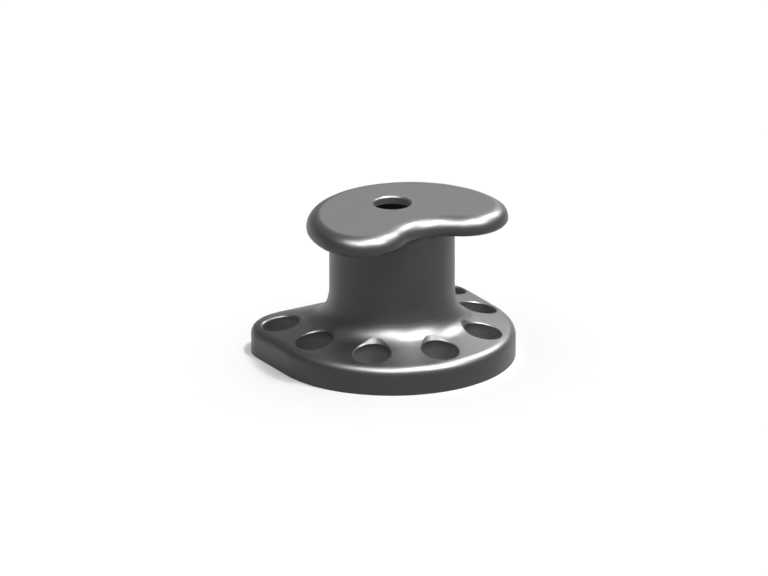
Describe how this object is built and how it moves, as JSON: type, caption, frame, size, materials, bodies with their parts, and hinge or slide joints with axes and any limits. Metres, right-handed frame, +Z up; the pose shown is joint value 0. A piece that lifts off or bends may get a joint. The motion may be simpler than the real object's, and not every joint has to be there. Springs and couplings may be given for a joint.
{
  "type": "kidney bollard",
  "caption": "Low mooring bollard with a kidney head on a short round column and a D-shaped base with recessed anchor bolt pockets, hollow and concrete filled.",
  "frame": {"origin": "on the column's axis, in the plane of the base's underside", "axes": "+Z up the column, -Y to the notch of the head and the round front of the base, +Y to the straight back edge, X across the two lobes"},
  "size_m": [0.636, 0.569, 0.41],
  "materials": {
    "coated_casting": "satin",
    "concrete": "matte"
  },
  "bodies": {
    "root": {"bollard_casting": "coated_casting", "concrete_core": "concrete"}
  },
  "joints": []
}
